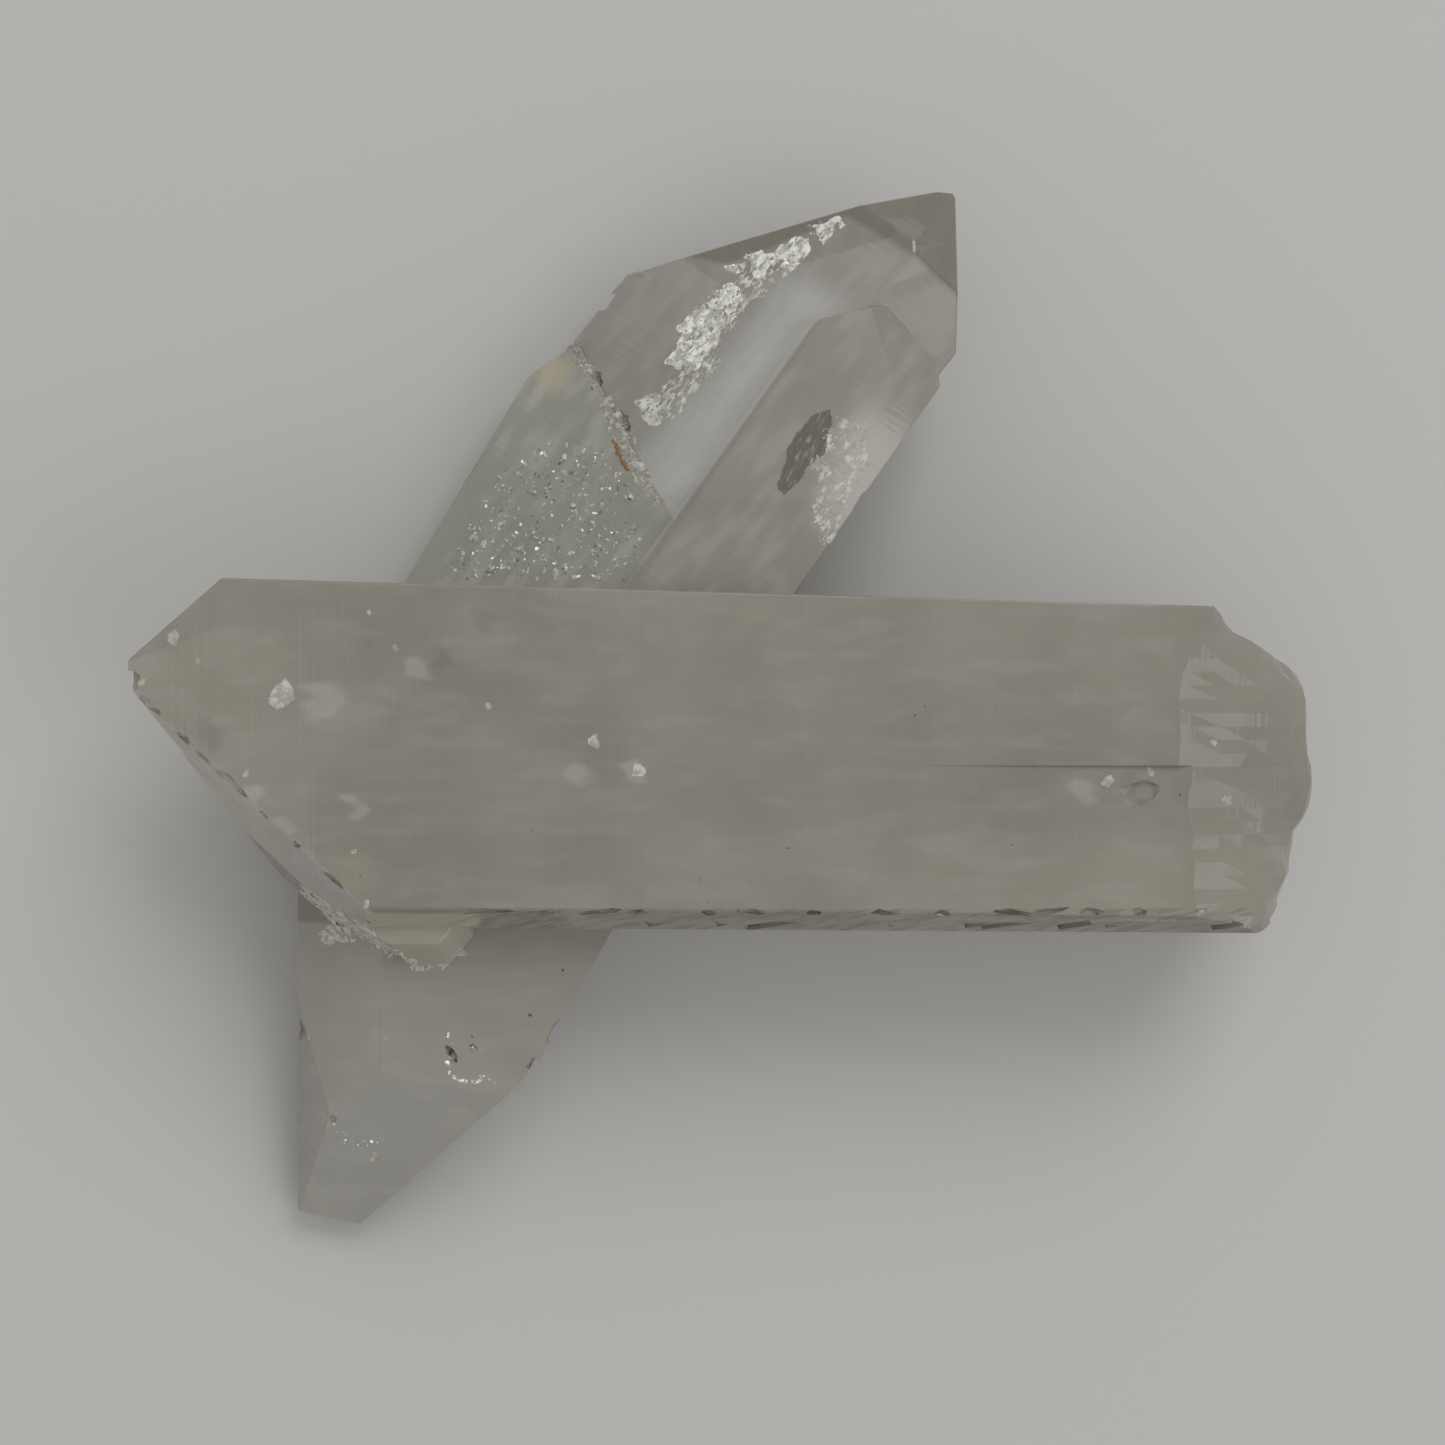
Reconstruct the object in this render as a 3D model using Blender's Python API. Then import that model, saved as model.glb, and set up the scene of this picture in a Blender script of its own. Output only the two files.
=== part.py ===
"""Clear quartz cluster: six crystals grown through each other, joined in one solid.

The long main crystal lies along X, with its point at -X and its broken root at +X. The others grew
across it: the rear crystal, its seam half and the small front crystal come out at +Y, and the lower
crystal comes out at -Y. A quartz crystal has six side faces round its long axis and six tip faces on
each end, always at the same angles, so each crystal here is a block cut by those planes, each plane at
its own distance. Chips, ledges and pits are cut last. The cluster rests on z = 0.
"""

import math
import random

import bmesh
import bpy
from mathutils import Matrix, Vector, noise

MM = 0.001

# Quartz: a tip face's normal leans this far from the long axis, and side faces turn in sixths.
TIP_LEAN = math.radians(51.8)
SIXTH = math.radians(60)

BLOCK_SIZE = 220 * MM
EDGE_WEAR = 0.14 * MM
WORN_ANGLE = math.radians(12)
ABSENT = 120
NO_TAIL = (ABSENT,) * 6
POINTED_TAIL = (0.0,) * 6

# Heights above the surface that the cluster rests on.
MAIN_TOP = 19.6
REAR_TIP_HEIGHT = 10.3
FRONT_TOP = 17.3
LOWER_TOP = 13.0

# The main crystal: its point, its direction and the broken root at its other end.
MAIN_TIP = Vector((-45.8, 3.6, MAIN_TOP)) * MM
MAIN_AZIMUTH = 179.0
MAIN_END = 54
MAIN_FLARE = 0.55
ROOT_REACH = 46.6 * MM
ROOT_MIDDLE_Y = -4.5 * MM
ROOT_BULGE_Z = 11.0 * MM
ROOT_TOP_EDGE = 35.2 * MM
ROOT_GRID = 1.05 * MM

# How far the root's outline falls back at its two sides, how far off the middle that is, and how
# sharply it turns there.
REAR_SIDE_FALL = 7.4 * MM
REAR_SIDE_OFFSET = 13.4 * MM
REAR_SIDE_CURVE = 3.8
FRONT_SIDE_FALL = 3.2 * MM
FRONT_SIDE_OFFSET = 11.0 * MM
FRONT_SIDE_CURVE = 1.5
UNDERSIDE_FALL = 5.0 * MM

# How steeply the break rises to the top face, which is steeper towards the front corner, and where
# its top edge begins to slant back to the rear corner.
BREAK_STEEPNESS = 1.9
FRONT_CORNER_Y = -9.5 * MM
FRONT_CORNER_STEEPNESS = 0.45 / MM
TOP_EDGE_TURN_Y = 3 * MM
TOP_EDGE_SLANT = 0.5

# How deep the broken root's lumps, shell-like hollows and grains are, in millimetres.
ROOT_LUMPS = 0.8
ROOT_SHELLS = 0.8
ROOT_GRAINS = 0.4

# How many of each repeated mark the main crystal has.
TIP_EDGE_CHIPS = 7
LOWER_EDGE_CHIPS = 14
SIDE_CRACKS = 13
GROWTH_LINES = 9
CHIP_RAGGEDNESS = 0.3

# The crystals that cross the main one.
REAR_TIP = Vector((18.6, 42.3, REAR_TIP_HEIGHT)) * MM
REAR_AZIMUTH = 51.6
FRONT_TIP = Vector((12.85, 32.4, FRONT_TOP)) * MM
FRONT_AZIMUTH = 55.0
SEAM_AZIMUTH = 59.1


def direction(azimuth, dip):
    """The normal of a face that slopes down at dip degrees towards a compass azimuth."""
    turn = math.radians(azimuth)
    slope = math.radians(dip)
    return Vector((math.cos(turn) * math.sin(slope), math.sin(turn) * math.sin(slope), math.cos(slope)))


def plane(x, y, z, azimuth, dip):
    """A cutting plane through a point in millimetres."""
    return Vector((x, y, z)) * MM, direction(azimuth, dip)


def quartz_planes(tip, azimuth, first_turn, sides, tips, tail, tails, flare=0.0):
    """The planes of one quartz crystal: six sides, six tip faces and six faces on its other end.

    Each side's distance is from the axis through the tip. A tip face at distance 0 meets the tip, and
    tail is the point where the faces of the other end meet in the same way.
    """
    turn = math.radians(azimuth)
    along = Vector((math.cos(turn), math.sin(turn), 0))
    across = Vector((math.sin(turn), -math.cos(turn), 0))
    up = Vector((0, 0, 1))
    spread = math.radians(flare)
    planes = []
    for index in range(6):
        angle = math.radians(first_turn) + index * SIXTH
        outward = across * math.cos(angle) + up * math.sin(angle)
        level = abs(math.cos(angle)) < 0.01
        side = outward if level else (outward * math.cos(spread) - along * math.sin(spread))
        planes.append((tip + side * sides[index] * MM, side))
        head = along * math.cos(TIP_LEAN) + outward * math.sin(TIP_LEAN)
        planes.append((tip + head * tips[index] * MM, head))
        back = -along * math.cos(TIP_LEAN) + outward * math.sin(TIP_LEAN)
        planes.append((tail + back * tails[index] * MM, back))
    return planes


def cut(bm, point, normal):
    """Slice off what lies outside a plane and close the slice with one flat face."""
    everything = bm.verts[:] + bm.edges[:] + bm.faces[:]
    sliced = bmesh.ops.bisect_plane(
        bm,
        geom=everything,
        dist=0.001 * MM,
        plane_co=point,
        plane_no=normal,
        clear_outer=True,
    )
    rim = [item for item in sliced["geom_cut"] if isinstance(item, bmesh.types.BMEdge)]
    if rim:
        bmesh.ops.holes_fill(bm, edges=rim, sides=0)


def grow(name, planes, collection, parent):
    """One crystal: a block cut by its planes, with its edges a little worn."""
    bm = bmesh.new()
    bmesh.ops.create_cube(bm, size=BLOCK_SIZE)
    for point, normal in planes:
        cut(bm, point, normal)
    bmesh.ops.remove_doubles(bm, verts=bm.verts, dist=0.02 * MM)
    bmesh.ops.dissolve_limit(bm, angle_limit=0.001, verts=bm.verts, edges=bm.edges)
    worn = [edge for edge in bm.edges if edge.calc_face_angle(0) > WORN_ANGLE]
    bmesh.ops.bevel(
        bm,
        geom=worn,
        offset=EDGE_WEAR,
        offset_type="OFFSET",
        segments=1,
        affect="EDGES",
        clamp_overlap=True,
    )
    bmesh.ops.recalc_face_normals(bm, faces=bm.faces)
    mesh = bpy.data.meshes.new(name)
    bm.to_mesh(mesh)
    bm.free()
    return add_object(name, mesh, collection, parent)


def add_object(name, mesh, collection, parent):
    """Link a mesh under the cluster's frame."""
    thing = bpy.data.objects.new(name, mesh)
    collection.objects.link(thing)
    thing.parent = parent
    return thing


def main_planes():
    """The main crystal: a wide level top, a narrow worn face at -Y and undercut sides."""
    sides = (ABSENT, 0.0, 15.4, 18.35, MAIN_TOP, 6.75)
    tips = (ABSENT, ABSENT, 0.4, 7.0, 0.0, 0.8)
    planes = quartz_planes(MAIN_TIP, MAIN_AZIMUTH, 30, sides, tips, MAIN_TIP, NO_TAIL, MAIN_FLARE)
    planes.append(plane(MAIN_END, 0, 0, 0, 90))
    return planes


def ledge_planes():
    """The ledge of parallel growth on the main crystal's -Y side, near its point."""
    sides = (ABSENT, -3.1, 16.35, 27.8, 15.0, -3.0)
    tips = (ABSENT, ABSENT, 0.5, 7.2, 0.1, 0.5)
    planes = quartz_planes(MAIN_TIP, MAIN_AZIMUTH, 30, sides, tips, MAIN_TIP, NO_TAIL, MAIN_FLARE)
    planes.append(plane(-28.7, -16.7, 12.5, 237, 76))
    planes.append(plane(-21.6, -19.3, 13.0, -40, 64))
    planes.append(plane(-20.0, -17.0, 15.0, -4, 78))
    return planes


def rear_planes():
    """The clear crystal behind: edge up, with a ridge between its two upper sides."""
    sides = (8.0, 5.2, 4.6, 17.1, 13.2, 4.6)
    tips = (0.0, 0.0, 0.0, 0.45, 0.0, 0.0)
    tail = Vector((-26.5, -8.0, 7.0)) * MM
    planes = quartz_planes(REAR_TIP, REAR_AZIMUTH, 0, sides, tips, tail, POINTED_TAIL)
    planes.append(plane(-25.9, 11.2, 5.0, SEAM_AZIMUTH + 90, 90))
    return planes


def seam_planes():
    """The rear crystal's root half, a little wider, which ends at the rusty seam."""
    anchor = Vector((-7.0, 22.0, 9.0)) * MM
    sides = (12.0, 5.6, 2.3, 10.9, 8.6, 7.0)
    tips = (30, 30, 30, 30, 30, 30)
    tail = Vector((-29.0, -5.5, 6.0)) * MM
    planes = quartz_planes(anchor, SEAM_AZIMUTH, 0, sides, tips, tail, POINTED_TAIL)
    planes.append(plane(-11.9, 30.1, 9.0, 124, 80))
    planes.append(plane(-5.6, 18.9, 12.0, 29, 86))
    return planes


def front_planes():
    """The small crystal in front: a level top, and a tip that was broken off square."""
    sides = (ABSENT, 0.0, 3.1, 4.6, 9.0, 6.05)
    tips = (ABSENT, ABSENT, 0.0, 0.4, 4.0, 3.0)
    tail = Vector((-14.0, -6.0, 10.5)) * MM
    planes = quartz_planes(FRONT_TIP, FRONT_AZIMUTH, 30, sides, tips, tail, POINTED_TAIL)
    planes.append(plane(12.85, 32.4, FRONT_TOP, 41.6, 128))
    return planes


def lower_planes():
    """The stout crystal below: level top, one long slope to its blunt tip, and a steep left flank."""
    base_and_top = [
        plane(0, 0, 0, 0, 180),
        plane(0, 0, LOWER_TOP, 0, 0),
    ]
    tip_slope = [plane(-26.9, -27.8, LOWER_TOP, 260, 37)]
    left_flank = [
        plane(-26.9, -20.0, LOWER_TOP, 180, 36),
        plane(-31.4, -31.6, 9.7, 189, 55.5),
        plane(-34.3, -25.0, 7.6, 180, 82),
        plane(-35.3, -30.0, 3.0, 180, 122),
    ]
    blunt_tip = [
        plane(-32.0, -40.9, 3.2, 256, 78),
        plane(-32.0, -40.9, 2.6, 256, 126),
        plane(-28.0, -40.5, 3.4, 303, 80),
        plane(-28.0, -40.5, 2.6, 303, 124),
    ]
    right_flank = [
        plane(-21.0, -33.7, 7.0, 316, 92),
        plane(-21.0, -33.7, 4.6, 316, 118),
        plane(-16.3, -28.6, 12.6, 317, 97),
        plane(-11.6, -21.6, LOWER_TOP, 331, 112),
    ]
    hidden_root = [
        plane(-5.0, -8.0, 8.0, 352, 92),
        plane(-9.0, 1.0, 6.0, 60, 100),
        plane(-30.0, -2.0, 7.0, 140, 96),
    ]
    return base_and_top + tip_slope + left_flank + blunt_tip + right_flank + hidden_root


def root_depth(y, z):
    """How far along X the broken root reaches: round in plan, sloping back to the top face.

    The break stands steeper towards the front corner.
    """
    aside = abs(y - ROOT_MIDDLE_Y)
    if y > ROOT_MIDDLE_Y:
        reach = ROOT_REACH - REAR_SIDE_FALL * (aside / REAR_SIDE_OFFSET) ** REAR_SIDE_CURVE
    else:
        reach = ROOT_REACH - FRONT_SIDE_FALL * (aside / FRONT_SIDE_OFFSET) ** FRONT_SIDE_CURVE
    rise = z - ROOT_BULGE_Z
    if rise > 0:
        steepness = BREAK_STEEPNESS + FRONT_CORNER_STEEPNESS * max(0, FRONT_CORNER_Y - y)
        share = (rise / (MAIN_TOP * MM - ROOT_BULGE_Z)) ** steepness
        top_edge = ROOT_TOP_EDGE + TOP_EDGE_SLANT * max(0, y - TOP_EDGE_TURN_Y)
        return reach + (top_edge - reach) * share
    return reach - UNDERSIDE_FALL * (rise / ROOT_BULGE_Z) ** 2


def root_roughness(y, z):
    """Shell-like breaks, lumps and small grains on the broken root."""
    place = Vector((0, y, z)) / MM
    lumps = noise.noise(place / 6.5 + Vector((3.1, 0, 0)))
    shells = abs(noise.noise(place / 3.6 + Vector((9.4, 0, 0))))
    grains = noise.noise(place / 1.7 + Vector((5.7, 0, 0)))
    return (ROOT_LUMPS * lumps - ROOT_SHELLS * shells + ROOT_GRAINS * grains) * MM


def root_breaker(collection, parent):
    """The cutter that breaks off the root: a block whose near face is the rough break."""
    bm = bmesh.new()
    width = 44 * MM
    height = 30 * MM
    columns = round(width / ROOT_GRID)
    rows = round(height / ROOT_GRID)
    upright = Matrix.Rotation(math.radians(-90), 4, "Y") @ Matrix.Diagonal((height / 2, width / 2, 1, 1))
    middle = Matrix.Translation(Vector((40 * MM, ROOT_MIDDLE_Y, 9.5 * MM)))
    near = bmesh.ops.create_grid(bm, x_segments=rows, y_segments=columns, size=1, matrix=middle @ upright)
    front = near["verts"]
    far = bmesh.ops.extrude_face_region(bm, geom=bm.faces[:])
    moved = [item for item in far["geom"] if isinstance(item, bmesh.types.BMVert)]
    bmesh.ops.translate(bm, verts=moved, vec=Vector((30 * MM, 0, 0)))
    for vert in front:
        y = vert.co.y
        z = vert.co.z
        vert.co.x = root_depth(y, z) + root_roughness(y, z)
    bmesh.ops.recalc_face_normals(bm, faces=bm.faces)
    mesh = bpy.data.meshes.new("root breaker")
    bm.to_mesh(mesh)
    bm.free()
    return add_object("root breaker", mesh, collection, parent)


def chip(name, place, size, azimuth, cutters, parent, tilt=0.0):
    """A shell-like chip: a squashed ragged ball of flat facets, cut out where it meets the surface."""
    bpy.ops.mesh.primitive_ico_sphere_add(subdivisions=2, radius=MM)
    ball = bpy.context.object
    chance = random.Random(place[0])
    for vert in ball.data.vertices:
        vert.co *= chance.uniform(1 - CHIP_RAGGEDNESS, 1 + CHIP_RAGGEDNESS)
    ball.name = name
    ball.scale = size
    ball.rotation_euler = (math.radians(tilt), 0, math.radians(azimuth))
    ball.location = Vector(place) * MM
    move_to(ball, cutters, parent)


def groove(name, place, size, azimuth, cutters, parent, tilt=0.0, lean=0.0):
    """A step or groove: a thin bar of given length, width and depth, cut out of a face."""
    bpy.ops.mesh.primitive_cube_add(size=MM)
    bar = bpy.context.object
    bar.name = name
    bar.scale = size
    bar.rotation_euler = (math.radians(tilt), math.radians(lean), math.radians(azimuth))
    bar.location = Vector(place) * MM
    move_to(bar, cutters, parent)


def move_to(thing, collection, parent):
    """Keep a cutter with the others, in the cluster's frame."""
    for home in list(thing.users_collection):
        home.objects.unlink(thing)
    collection.objects.link(thing)
    thing.parent = parent


def edge_chips(cutters, parent):
    """Chips knocked out of the main crystal's long tip edge and out of its lower edge."""
    chance = random.Random(11)
    start = Vector((-45.1, 2.2, 19.3))
    end = Vector((-28.9, -13.2, 19.3))
    for index in range(TIP_EDGE_CHIPS):
        share = (index + chance.uniform(0.1, 0.9)) / TIP_EDGE_CHIPS
        place = start.lerp(end, share)
        length = chance.uniform(0.5, 1.8)
        size = (length, chance.uniform(0.25, 0.5), chance.uniform(0.35, 0.7))
        chip("tip edge chip", place, size, -43 + chance.uniform(-18, 18), cutters, parent)
    for index in range(LOWER_EDGE_CHIPS):
        share = (index + chance.uniform(0.1, 0.9)) / LOWER_EDGE_CHIPS
        place = Vector((-20 + 60 * share, -14.6, 19.3))
        size = (chance.uniform(0.5, 2.2), chance.uniform(0.2, 0.45), chance.uniform(0.25, 0.5))
        chip("lower edge chip", place, size, chance.uniform(-12, 12), cutters, parent)


def oblique_cracks(cutters, parent):
    """Slanted cracks across the narrow worn face along the main crystal's lower edge."""
    chance = random.Random(5)
    for index in range(SIDE_CRACKS):
        x = -8.5 + 49 * (index + chance.uniform(0.1, 0.9)) / SIDE_CRACKS
        size = (chance.uniform(2.2, 5.0), 0.9, chance.uniform(0.25, 0.55))
        place = (x, -15.6, 18.1 + chance.uniform(-0.5, 0.5))
        groove("side crack", place, size, chance.uniform(2, 5), cutters, parent, 60, chance.uniform(-22, -10))


def growth_steps(cutters, parent):
    """Shallow growth lines across the free stretches of the main crystal's two undercut sides."""
    chance = random.Random(23)
    stretches = ((60, 9.5, 28, 3.85, 9.6), (-60, -7, 44, -11.6, 8.5))
    for tilt, start, length, middle_y, middle_z in stretches:
        for index in range(GROWTH_LINES):
            x = start + length * (index + chance.uniform(0.1, 0.9)) / GROWTH_LINES
            size = (chance.uniform(0.4, 1.5), chance.uniform(7, 14), 0.4)
            place = (x, middle_y - 0.02 * (x - start), middle_z)
            groove("growth line", place, size, 0, cutters, parent, tilt)


def marks(cutters, parent):
    """Single marks: the long shelf on the main top, and chips, pits and bruises."""
    groove("main shelf", (24.6, -10.2, 19.78), (24, 13.8, 0.7), 0, cutters, parent, 0, 1.0)
    chip("bruise pit", (-21.4, -26.2, 13.1), (0.9, 0.45, 0.6), -60, cutters, parent)
    chip("bruise end pit", (-19.7, -25.7, 13.1), (0.35, 0.3, 0.35), -20, cutters, parent)
    chip("point chip", (-45.5, 3.2, 19.7), (0.7, 0.9, 0.7), 0, cutters, parent)
    chip("root pit", (32.2, -5.4, 19.8), (1.9, 1.3, 0.8), 15, cutters, parent)
    chip("lower tip chip", (-31.5, -31.9, 9.7), (0.7, 0.6, 0.6), 20, cutters, parent)
    chip("lower slope chip", (-29.3, -34.2, 8.4), (1.5, 0.5, 0.45), -15, cutters, parent, 30)
    chip("lower flank chip", (-34.2, -25.4, 8.0), (0.7, 1.7, 1.0), 5, cutters, parent)
    chip("lower edge chip a", (-13.2, -24.4, 12.8), (1.0, 0.5, 0.7), 61, cutters, parent)
    chip("lower edge chip b", (-15.0, -27.2, 12.6), (0.8, 0.5, 0.7), 58, cutters, parent)
    chip("blunt tip chip", (-31.9, -41.5, 3.2), (1.2, 0.6, 0.7), -14, cutters, parent)
    chip("rear shoulder chip", (-9.5, 34.2, 5.4), (1.3, 0.6, 1.0), 40, cutters, parent)
    chip("rear corner chip", (-6.0, 36.8, 5.6), (1.1, 0.6, 0.9), 20, cutters, parent)
    chip("seam chip a", (-10.2, 27.9, 7.9), (1.1, 0.5, 0.6), -60, cutters, parent)
    chip("seam chip b", (-8.0, 24.3, 10.2), (1.4, 0.5, 0.6), -62, cutters, parent)
    chip("front corner chip", (17.4, 27.3, 17.0), (0.8, 0.5, 0.7), -45, cutters, parent)
    chip("front edge chip", (10.7, 17.2, 17.3), (1.1, 0.3, 0.5), 55, cutters, parent)


def combine(target, operation, collection):
    """Join a collection's solids to the target, or cut them out of it."""
    modifier = target.modifiers.new(operation.lower(), "BOOLEAN")
    modifier.operation = operation
    modifier.solver = "EXACT"
    modifier.operand_type = "COLLECTION"
    modifier.collection = collection


def centre_on_footprint(cluster, base):
    """Move the frame so that the origin is under the middle of the cluster, at its lowest level."""
    bpy.context.view_layer.update()
    shape = cluster.evaluated_get(bpy.context.evaluated_depsgraph_get())
    corners = [shape.matrix_world @ Vector(corner) for corner in shape.bound_box]
    low = Vector(min(corner[axis] for corner in corners) for axis in range(3))
    high = Vector(max(corner[axis] for corner in corners) for axis in range(3))
    middle = (low + high) / 2
    base.location = (-middle.x, -middle.y, -low.z)


def guide_collection(name):
    """A collection for shapes that only help to make the part."""
    collection = bpy.data.collections.new(name)
    bpy.context.scene.collection.children.link(collection)
    return collection


def quartz_material():
    """Clear quartz with a faint grey-brown cast."""
    material = bpy.data.materials.new("clear quartz")
    material.use_nodes = True
    shader = material.node_tree.nodes["Principled BSDF"]
    shader.inputs["Base Color"].default_value = (0.62, 0.60, 0.56, 1)
    shader.inputs["Roughness"].default_value = 0.12
    shader.inputs["Metallic"].default_value = 0.0
    shader.inputs["IOR"].default_value = 1.544
    shader.inputs["Transmission Weight"].default_value = 0.8
    return material


def main():
    for thing in list(bpy.data.objects):
        bpy.data.objects.remove(thing, do_unlink=True)

    part = guide_collection("quartz cluster")
    growth = guide_collection("joined crystals")
    cutters = guide_collection("cutters")

    base = bpy.data.objects.new("cluster frame", None)
    part.objects.link(base)

    cluster = grow("quartz_cluster", main_planes(), part, base)
    cluster.data.materials.append(quartz_material())
    grow("side ledge", ledge_planes(), growth, base)
    grow("rear crystal", rear_planes(), growth, base)
    grow("seam half", seam_planes(), growth, base)
    grow("front crystal", front_planes(), growth, base)
    grow("lower crystal", lower_planes(), growth, base)
    root_breaker(cutters, base)
    edge_chips(cutters, base)
    oblique_cracks(cutters, base)
    growth_steps(cutters, base)
    marks(cutters, base)

    for guide in list(growth.objects) + list(cutters.objects):
        guide.hide_render = True
        guide.display_type = "WIRE"
    combine(cluster, "UNION", growth)
    combine(cluster, "DIFFERENCE", cutters)
    centre_on_footprint(cluster, base)


main()
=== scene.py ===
# %% [markdown]
# # A cluster of clear quartz
#
# The object is one intergrown group of quartz crystals, about 93 mm long. A stout main crystal lies
# across the picture with its point on the left and its broken root on the right. A clear crystal and a
# smaller one beside it come out at the back, and a short blunt one comes out in front.
#
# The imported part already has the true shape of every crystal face. What is made here is what makes
# quartz look like quartz: clear and cloudy places, cracks that shine white, sparks of trapped bubbles
# and flakes, rust on a seam, and the fine steps on the crystal faces.

import math
import random

import bpy
from mathutils import Matrix, Vector, noise
from mathutils.bvhtree import BVHTree


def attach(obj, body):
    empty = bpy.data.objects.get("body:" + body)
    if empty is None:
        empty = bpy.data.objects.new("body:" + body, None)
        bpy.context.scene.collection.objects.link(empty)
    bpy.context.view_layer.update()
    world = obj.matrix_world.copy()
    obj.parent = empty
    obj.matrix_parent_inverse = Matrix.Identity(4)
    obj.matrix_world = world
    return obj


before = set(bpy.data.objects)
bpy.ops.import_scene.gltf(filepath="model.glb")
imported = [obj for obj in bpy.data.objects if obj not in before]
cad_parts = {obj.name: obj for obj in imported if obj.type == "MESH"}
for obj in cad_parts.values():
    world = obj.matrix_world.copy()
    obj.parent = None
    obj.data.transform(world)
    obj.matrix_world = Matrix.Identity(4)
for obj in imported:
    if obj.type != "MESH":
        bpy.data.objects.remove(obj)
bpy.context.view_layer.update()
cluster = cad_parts["quartz_cluster"]

# %% [markdown]
# ## Places in the cluster
#
# Every place below is measured in millimetres from a point 0.8 mm off the part's own origin, because
# the crystals were laid out round the middle of the view. One helper turns such a place into metres.

# %% Millimetres, and the shift to the part's own origin
MM = 0.001
SHIFT = Vector((-0.641, -0.499, 0.0))


def at(x, y, z):
    """A place in the layout, in metres in the part's frame."""
    return (Vector((x, y, z)) + SHIFT) * MM


print("The layout's middle lies at", tuple(at(0, 0, 0)))

# %% [markdown]
# ## Camera, floor and light
#
# The group lies on a plain pale floor and is seen from straight above. A big soft light stands behind
# it and to the right, so that the soft shadows fall to the front left. A weaker light from the right
# makes the faces that lean that way brighter, as they are in the view.

# %% Camera
CAMERA_HEIGHT = 0.250
LENS = 74.75
SENSOR = 36
VIEW = 1445

bpy.ops.object.select_all(action="DESELECT")
bpy.ops.object.camera_add(location=at(0, 0, CAMERA_HEIGHT / MM), rotation=(0, 0, 0))
camera = bpy.context.object
camera.data.lens = LENS
camera.data.sensor_width = SENSOR
camera.data.clip_start = 0.01
camera.data.clip_end = 20
bpy.context.scene.camera = camera
print("The camera sees", round(SENSOR / LENS * CAMERA_HEIGHT / MM, 1), "mm of floor")


# %% Floor
def plain_material(name, color, roughness):
    """A matt material of one colour, for the stage only."""
    material = bpy.data.materials.new(name)
    material.use_nodes = True
    shader = material.node_tree.nodes["Principled BSDF"]
    shader.inputs["Base Color"].default_value = (*color, 1)
    shader.inputs["Roughness"].default_value = roughness
    shader.inputs["Specular IOR Level"].default_value = 0.2
    return material


FLOOR_TINT = (0.555, 0.555, 0.55)
bpy.ops.mesh.primitive_plane_add(size=4, location=(0, 0, 0))
floor = bpy.context.object
floor.name = "floor"
floor.data.materials.append(plain_material("pale floor", FLOOR_TINT, 0.9))


# %% Lights
def soft_light(name, place, target, size, power, color):
    """A square soft light that looks at a target."""
    bpy.ops.object.light_add(type="AREA", location=place)
    light = bpy.context.object
    light.name = name
    light.data.shape = "SQUARE"
    light.data.size = size
    light.data.energy = power
    light.data.color = color
    aim = Vector(target) - Vector(place)
    light.rotation_euler = aim.to_track_quat("-Z", "Y").to_euler()
    return light


soft_light("window", (0.42, 0.78, 0.9), (0, 0, 0), 0.7, 5.5, (1.0, 0.985, 0.96))
soft_light("side light", (0.85, -0.40, 0.8), (0, 0, 0), 0.9, 2.2, (1.0, 0.99, 0.97))

world = bpy.data.worlds.new("room light")
bpy.context.scene.world = world
world.use_nodes = True
world.node_tree.nodes["Background"].inputs["Color"].default_value = (0.82, 0.815, 0.80, 1)
world.node_tree.nodes["Background"].inputs["Strength"].default_value = 0.60
bpy.context.scene.view_settings.view_transform = "Standard"

# %% [markdown]
# ## The quartz itself
#
# Quartz is clear, but these crystals are full of fine veils, so the thick ones look like smoky milk
# while the thin ones behind stay see-through. The shader is one glass with a weak grey-brown
# absorption. A pattern in space makes some of it milky: there the light is scattered back instead of
# passing through. Fine steps run across each crystal, as they do on grown quartz, and soft smoky and
# pale smudges lie where the view shows them.


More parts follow.
